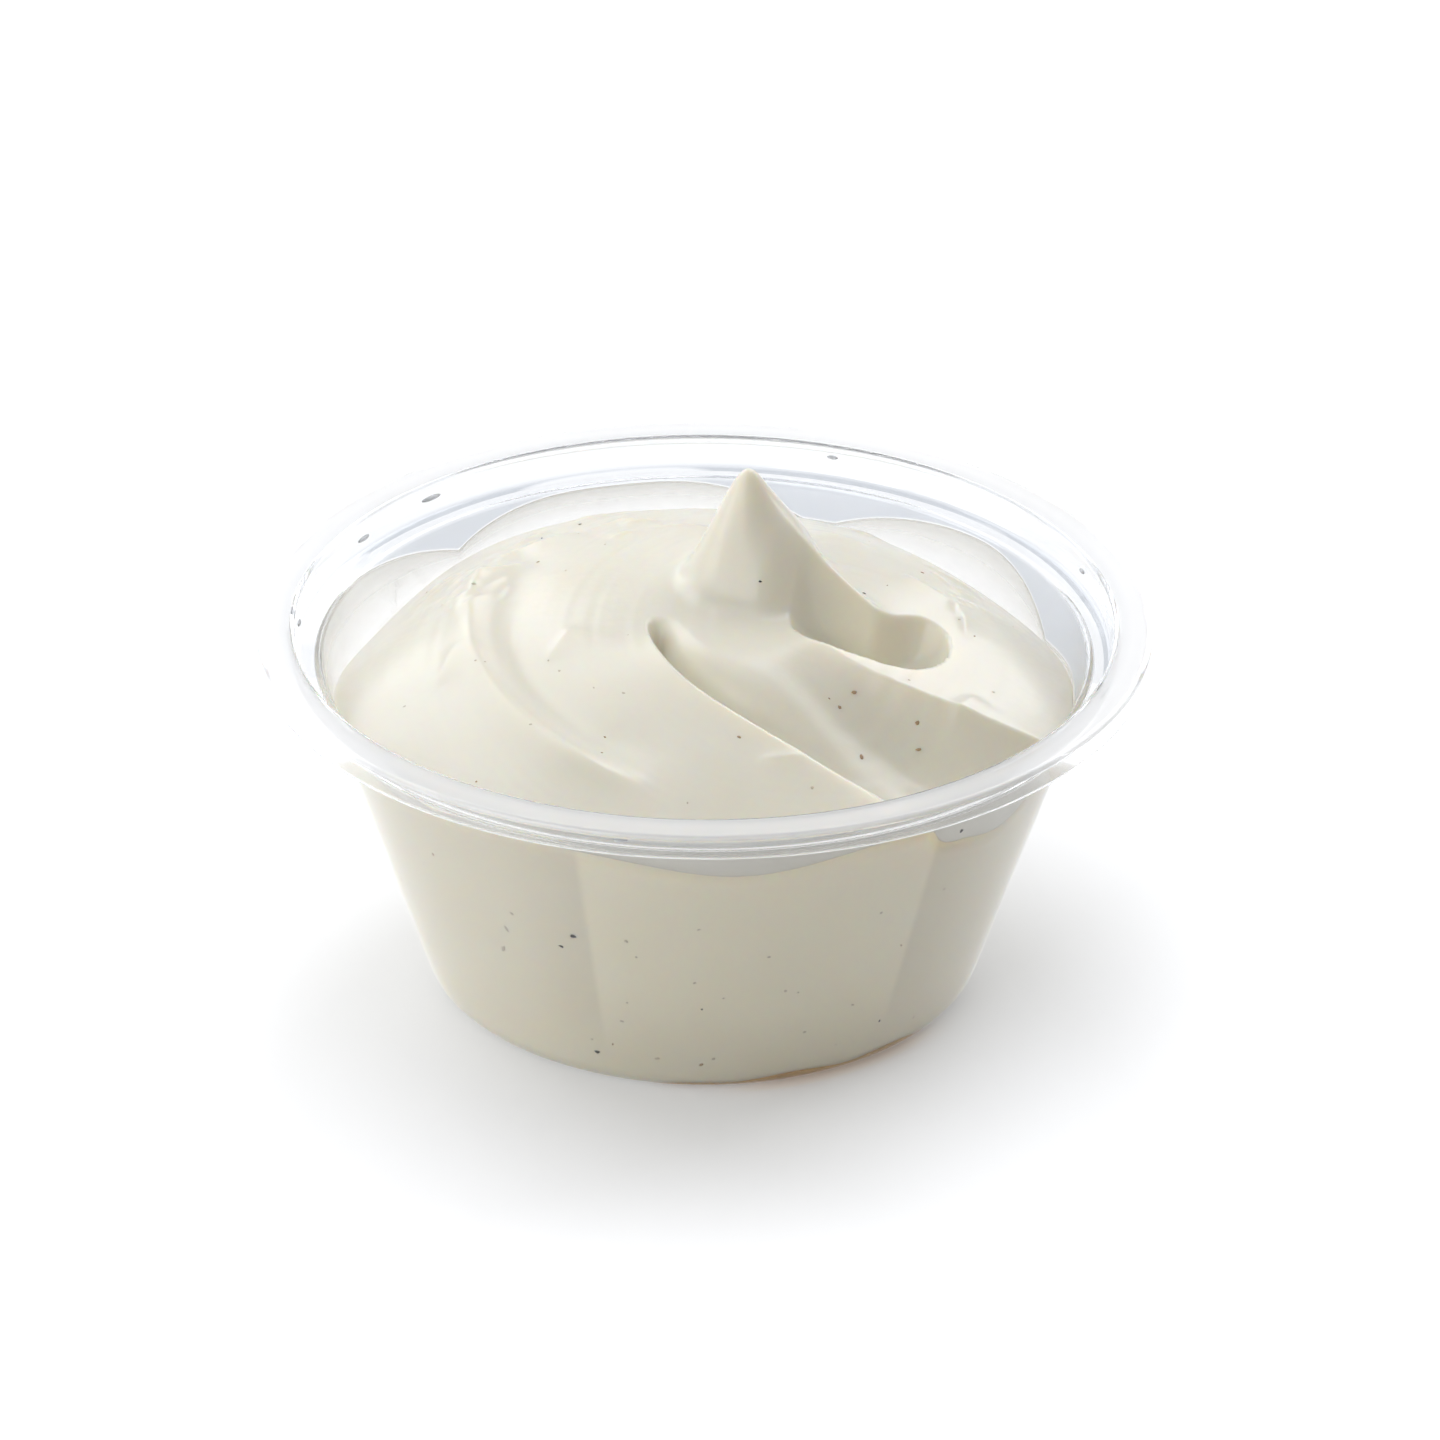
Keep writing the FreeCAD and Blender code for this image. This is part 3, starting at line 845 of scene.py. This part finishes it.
# On top: x, y, length, share.
DARK_ON_TOP = [(-0.0108, 0.0212, 0.00050, 0.7), (0.0062, 0.0226, 0.00046, 0.8)]
BROWN_ON_TOP = [
    (0.0124, -0.0098, 0.00055, 0.8), (0.0130, -0.0146, 0.00075, 0.5), (0.0176, -0.0117, 0.00050, 0.8),
    (0.0177, -0.0131, 0.00060, 0.6), (0.0112, -0.0109, 0.00045, 0.8), (0.0029, -0.0180, 0.00050, 0.7),
    (-0.0142, 0.0118, 0.00045, 0.7), (0.0186, 0.0132, 0.00050, 0.8),
]
FAINT_ON_TOP = [
    (0.0088, -0.0230, 0.00050, 0.7), (-0.0025, -0.0290, 0.00055, 0.6), (-0.0195, 0.0065, 0.00050, 0.8),
    (-0.0120, -0.0080, 0.00045, 0.7), (-0.0085, 0.0130, 0.00045, 0.8), (0.0215, 0.0040, 0.00050, 0.7),
]
fleck_chance = np.random.default_rng(11)


def top_place(x, y, sunk):
    """A place on the sauce's top, with the direction out of the sauce."""
    near = 0.0002
    lean_x = (dressed_height(x + near, y) - dressed_height(x - near, y)) / (2 * near)
    lean_y = (dressed_height(x, y + near) - dressed_height(x, y - near)) / (2 * near)
    out = np.array([-float(lean_x), -float(lean_y), 1.0])
    out = out / np.linalg.norm(out)
    return np.array([x, y, float(dressed_height(x, y))]) - out * sunk, out


def wall_place(direction, level, sunk):
    """A place on the sauce's side, which reaches a little into the wall."""
    bearing = math.radians(direction)
    out = np.array([math.cos(bearing), math.sin(bearing), -0.32])
    out = out / np.linalg.norm(out)
    radius = float(wall_radius(level)) + into_wall - sunk
    return np.array([radius * math.cos(bearing), radius * math.sin(bearing), level]), out


def add_chip(points, faces, middle, out, length, share, thick):
    """Add one flat chip with an uneven outline and a domed face."""
    any_side = np.array([0.3, 0.2, 0.9]) if abs(out[2]) < 0.8 else np.array([0.9, 0.3, 0.1])
    first = np.cross(out, any_side)
    first = first / np.linalg.norm(first)
    second = np.cross(out, first)
    turn = fleck_chance.uniform(0, np.pi)
    along = math.cos(turn) * first + math.sin(turn) * second
    aside = math.cos(turn) * second - math.sin(turn) * first
    corners = int(fleck_chance.integers(7, 10))
    bearings = np.linspace(0, 2 * np.pi, corners, endpoint=False)
    bearings = bearings + fleck_chance.uniform(-0.25, 0.25, corners)
    spread = fleck_chance.uniform(0.62, 1.0, corners) * length / 2
    start = len(points)
    for lift, shrink in ((-0.5, 1.0), (0.1, 1.06), (0.5, 0.7)):
        for bearing, reach in zip(bearings, spread):
            across = along * math.cos(bearing) + aside * math.sin(bearing) * share
            points.append(middle + across * reach * shrink + out * thick * lift)
    points.append(middle + out * thick * 0.62)
    here = start + np.arange(corners)
    there = np.roll(here, -1)
    for ring in (0, corners):
        faces += faces_between(here + ring, there + ring, there + ring + corners, here + ring + corners)
    top = np.full_like(here, len(points) - 1)
    faces += faces_between(here + 2 * corners, there + 2 * corners, top)
    faces.append(here[::-1].tolist())


def any_fleck(size):
    """Length of a scattered fleck, and the share of it that is the fleck's width."""
    return fleck_chance.uniform(0.5, 1.0) * size, fleck_chance.uniform(0.5, 0.9)


def make_flecks(name, on_wall, on_top, more_on_wall, more_on_top, size, thick, sunk, dark, light, gloss):
    """Make one piece of all flecks of a kind: those with a known place, and a scatter."""
    points, faces = [], []
    for direction, level, length, share in on_wall:
        add_chip(points, faces, *wall_place(direction, level, sunk), length, share, thick)
    for x, y, length, share in on_top:
        add_chip(points, faces, *top_place(x, y, sunk), length, share, thick)
    for _ in range(more_on_wall):
        direction, level = fleck_chance.uniform(0, 360), fleck_chance.uniform(0.002, 0.0215)
        length, share = any_fleck(size)
        add_chip(points, faces, *wall_place(direction, level, sunk), length, share, thick)
    for _ in range(more_on_top):
        bearing, reach = fleck_chance.uniform(0, 2 * np.pi), math.sqrt(fleck_chance.uniform(0, 1))
        length, share = any_fleck(size)
        reach = reach * body_top * 0.88
        place = top_place(reach * math.cos(bearing), reach * math.sin(bearing), sunk)
        add_chip(points, faces, *place, length, share, thick)
    piece = mesh_piece(name, points, faces)
    material, chip = start_material(name, Roughness=gloss)
    tone = place_group(mottle, Scale=1300.0, Detail=2.0, Dark=dark, Light=light)
    feed(chip.inputs["Base Color"], tone["Colour"])
    rough = place_group(fine_relief, Scale=1300.0, Detail=2.0, Strength=0.3, Distance=0.00005)
    feed(chip.inputs["Normal"], rough["Normal"])
    piece.data.materials.append(material)
    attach(piece, "root")


make_flecks(
    "dark_flecks", DARK_ON_WALL, DARK_ON_TOP, 6, 3, size=0.00045, thick=0.00012, sunk=0.00001,
    dark=(0.012, 0.010, 0.010, 1), light=(0.060, 0.045, 0.035, 1), gloss=0.45,
)
make_flecks(
    "brown_flecks", BROWN_ON_WALL, BROWN_ON_TOP, 10, 7, size=0.00042, thick=0.00011, sunk=0.00002,
    dark=(0.30, 0.19, 0.10, 1), light=(0.50, 0.35, 0.21, 1), gloss=0.5,
)
make_flecks(
    "faint_flecks", FAINT_ON_WALL, FAINT_ON_TOP, 46, 22, size=0.00050, thick=0.00010, sunk=0.00003,
    dark=(0.50, 0.43, 0.32, 1), light=(0.64, 0.58, 0.46, 1), gloss=0.4,
)

# ------------------------------------------------------------- truffle oil
# Oil that has parted from the sauce and run into the corner of the base, where
# it shows through the wall as a thin amber line on the right of the front.

oil_start, oil_end = math.radians(258.0), math.radians(332.0)
oil_low, oil_high = 0.00032, 0.0013
oil_into_wall = 0.0002
oil_into_sauce = 0.0003
oil_bulge, oil_skin = 0.00007, 0.00002


def oil_mesh(turns, rows):
    """Mesh the oil as a closed sliver, thickest in its middle."""
    share = np.linspace(0, 1, turns + 1)
    bearing = oil_start + (oil_end - oil_start) * share
    swell = np.sin(np.pi * share ** 1.2) ** 0.6 * (0.8 + 0.2 * np.sin(19 * share))
    loops = []
    for row in range(2 * rows):
        outer = row < rows
        up = row / (rows - 1) if outer else (2 * rows - 1 - row) / (rows - 1)
        level = oil_low + (oil_high - oil_low) * swell * up
        bulge = math.sin(math.pi * up) * oil_bulge + oil_skin
        radius = side_radius(level, oil_into_wall) + (bulge * swell if outer else -oil_into_sauce)
        loops.append(points_round(radius, bearing, level))
    here = np.arange(2 * rows * (turns + 1)).reshape(2 * rows, turns + 1)
    over = np.roll(here, -1, axis=0)
    faces = faces_between(here[:, :-1], here[:, 1:], over[:, 1:], over[:, :-1])
    faces += [here[:, 0].tolist(), here[::-1, -1].tolist()]
    return np.vstack(loops), faces


oil_piece = mesh_piece("oil_line", *oil_mesh(90, 7))
amber_oil, amber = start_material("amber_oil", Roughness=0.12, IOR=1.46)
depth = place_group(
    mottle, Scale=420.0, Detail=3.0, Dark=(0.48, 0.23, 0.035, 1), Light=(0.78, 0.50, 0.15, 1)
)
feed(amber.inputs["Base Color"], depth["Colour"])
feed(amber.inputs["Alpha"], ramp(depth["Pattern"], 0.0, 1.0, 0.6, 0.95))
oil_piece.data.materials.append(amber_oil)
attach(oil_piece, "root")

# ------------------------------------------------------------- mould burrs
# Small burrs that the mould's slides leave on the inside of the neck, of the same plastic and part of the
# same shot. Their material carries a mottled painted grey shade for the dark they show.

burr_sink = 0.00012
# Direction, level, length, height, how far it stands in from the neck.
NECK_BURRS = [
    (134.0, 0.0306, 0.0022, 0.00044, 0.00030), (149.0, 0.0302, 0.0017, 0.00042, 0.00028),
    (176.0, 0.0300, 0.0013, 0.00050, 0.00028), (71.0, 0.0309, 0.0010, 0.00034, 0.00022),
    (259.0, 0.0298, 0.0012, 0.00042, 0.00028), (291.0, 0.0299, 0.0011, 0.00040, 0.00026),
    (342.0, 0.0304, 0.0015, 0.00044, 0.00028), (20.0, 0.0305, 0.0010, 0.00036, 0.00024),
]


def burr_mesh(slices, rings):
    """Mesh each burr as half a smooth bean, sunk into the neck's wall."""
    points, faces = [], []
    for direction, level, length, height, depth in NECK_BURRS:
        bearing = math.radians(direction)
        inward = np.array([-math.cos(bearing), -math.sin(bearing), 0.0])
        sideways = np.array([-math.sin(bearing), math.cos(bearing), 0.0])
        upward = np.array([0.0, 0.0, 1.0])
        middle = upward * level - inward * (neck_foot + burr_sink)
        here = len(points) + np.arange((rings - 1) * slices).reshape(rings - 1, slices)
        there = np.roll(here, -1, axis=1)
        for ring in range(1, rings):
            tilt = math.pi * ring / rings
            for slice_number in range(slices):
                turn = 2 * math.pi * slice_number / slices
                points.append(
                    middle
                    + sideways * math.cos(tilt) * length / 2
                    + upward * math.sin(tilt) * math.cos(turn) * height / 2
                    + inward * math.sin(tilt) * math.sin(turn) * depth
                )
        faces += faces_between(here[:-1], there[:-1], there[1:], here[1:])
        points += [middle + sideways * length / 2, middle - sideways * length / 2]
        ends = np.full(slices, len(points) - 2)
        faces += faces_between(there[0], here[0], ends)
        faces += faces_between(here[-1], there[-1], ends + 1)
    return points, faces


burr_piece = mesh_piece("neck_burrs", *burr_mesh(12, 10))
burr_plastic, burr = start_material("burr_plastic", Roughness=0.12, IOR=1.46, Transmission_Weight=0.6)
# Mottled painted grey shade on the burrs.
painted_burr_shade = place_group(
    mottle, Scale=1500.0, Detail=2.0, Dark=(0.38, 0.39, 0.41, 1), Light=(0.86, 0.87, 0.88, 1)
)
feed(burr.inputs["Base Color"], painted_burr_shade["Colour"])
burr_piece.data.materials.append(burr_plastic)
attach(burr_piece, "root")

# ------------------------------------------------------ floor, light, camera
# A white sweep whose painted glow clears it to plain white beyond the cup's shadow, six soft square lamps
# round the cup, and the camera looking down a little from the front.

floor = mesh_piece(
    "white_floor",
    [(-2.0, -2.0, 0.0), (2.0, -2.0, 0.0), (2.0, 2.0, 0.0), (-2.0, 2.0, 0.0)],
    [(0, 1, 2, 3)],
)
white_floor, paper = start_material(
    "white_floor", Roughness=0.9, Specular_IOR_Level=0.1, Emission_Color=(1, 1, 1, 1)
)
place = add_node("ShaderNodeTexCoord").outputs["Object"]
reach = add_node("ShaderNodeVectorMath", place, operation="LENGTH").outputs["Value"]

# Light that has passed through the oil tints the floor beside the foot.
glow_turn = math.radians(301.0)
glow_from, glow_to = base_radius - 0.0022, base_radius + 0.0016
glow_direction = (math.cos(glow_turn), math.sin(glow_turn), 0.0)
toward_glow = add_node("ShaderNodeVectorMath", place, glow_direction, operation="DOT_PRODUCT")
glow_side = ramp(toward_glow.outputs["Value"], base_radius * 0.86, base_radius, way="SMOOTHSTEP")
glow = ramp(reach, glow_from, glow_to, 1.0, 0.0, "SMOOTHSTEP")
glow_share = reckon("MULTIPLY", glow_side, glow)
feed(paper.inputs["Base Color"], blend(glow_share, (0.90, 0.91, 0.93, 1), (0.84, 0.56, 0.26, 1)))

# Painted light: the floor glows, faintly near the cup and more away from it, so that the cup's shadow
# fades to white. What the plastic shows of it glows evenly.
painted_glow_from, painted_glow_to = 0.018, 0.060
least_painted_glow, most_painted_glow = 0.13, 0.49
painted_glow_in_plastic = 0.36
path = add_node("ShaderNodeLightPath").outputs
in_plastic = largest_of(path["Is Glossy Ray"], path["Is Transmission Ray"])
painted_floor_glow = ramp(reach, painted_glow_from, painted_glow_to, least_painted_glow, most_painted_glow, "SMOOTHSTEP")
even_painted_glow = reckon("MULTIPLY", in_plastic, painted_glow_in_plastic)
feed(paper.inputs["Emission Strength"], reckon("MULTIPLY_ADD", path["Is Camera Ray"], painted_floor_glow, even_painted_glow))
floor.data.materials.append(white_floor)

world = bpy.data.worlds.new("studio")
bpy.context.scene.world = world
nodes, links = tree_of(world)
room = nodes["Background"]
room.inputs["Color"].default_value = (1.0, 0.95, 0.84, 1)
room.inputs["Strength"].default_value = 0.135
backdrop = add_node("ShaderNodeBackground", Color=(1, 1, 1, 1), Strength=1.0)
path = add_node("ShaderNodeLightPath").outputs
seen = largest_of(path["Is Camera Ray"], path["Is Glossy Ray"], path["Is Transmission Ray"])
shown = add_node("ShaderNodeMixShader", seen, room.outputs["Background"], backdrop.outputs["Background"])
feed(nodes["World Output"].inputs["Surface"], shown.outputs["Shader"])


def add_lamp(name, direction, height, width, watts, colour=(0.97, 0.985, 1.03), distance=0.75):
    """Hang a soft square lamp in a direction from the cup, facing it. Degrees."""
    lamp = bpy.data.lights.new(name, "AREA")
    lamp.shape = "SQUARE"
    lamp.size = width
    lamp.energy = watts
    lamp.color = colour
    hung = bpy.data.objects.new(name, lamp)
    turn, rise = math.radians(direction), math.radians(height)
    level = distance * math.cos(rise)
    cup_middle = Vector((0, 0, cup_height / 2))
    hung.location = cup_middle + Vector(
        (level * math.cos(turn), level * math.sin(turn), distance * math.sin(rise))
    )
    hung.rotation_euler = (cup_middle - hung.location).to_track_quat("-Z", "Y").to_euler()
    bpy.context.scene.collection.objects.link(hung)


add_lamp("back_right_lamp", 52, 38, 0.6, 3.2)
add_lamp("back_left_lamp", 128, 36, 0.6, 2.2)
add_lamp("left_lamp", 188, 14, 0.45, 1.5)
add_lamp("front_left_lamp", 228, 36, 0.45, 1.5)
add_lamp("front_lamp", 300, 2, 0.45, 0.5, colour=(1.0, 0.94, 0.82))
add_lamp("overhead_lamp", 90, 86, 0.5, 0.5)

camera_distance = 0.6
camera_elevation = math.radians(27.7)
camera_roll = math.radians(0.4)
camera_aim = Vector((0.00135, -0.0040, cup_height - 0.0076))
camera_data = bpy.data.cameras.new("camera")
camera_data.sensor_width = 36.0
camera_data.lens = 179.25
camera = bpy.data.objects.new("camera", camera_data)
camera.location = (
    0.0,
    -camera_distance * math.cos(camera_elevation),
    cup_height + camera_distance * math.sin(camera_elevation),
)
looking = (camera_aim - camera.location).to_track_quat("-Z", "Y")
camera.rotation_mode = "QUATERNION"
camera.rotation_quaternion = looking @ Quaternion((0, 0, 1), camera_roll)
bpy.context.scene.collection.objects.link(camera)
bpy.context.scene.camera = camera
bpy.context.scene.view_settings.view_transform = "Standard"
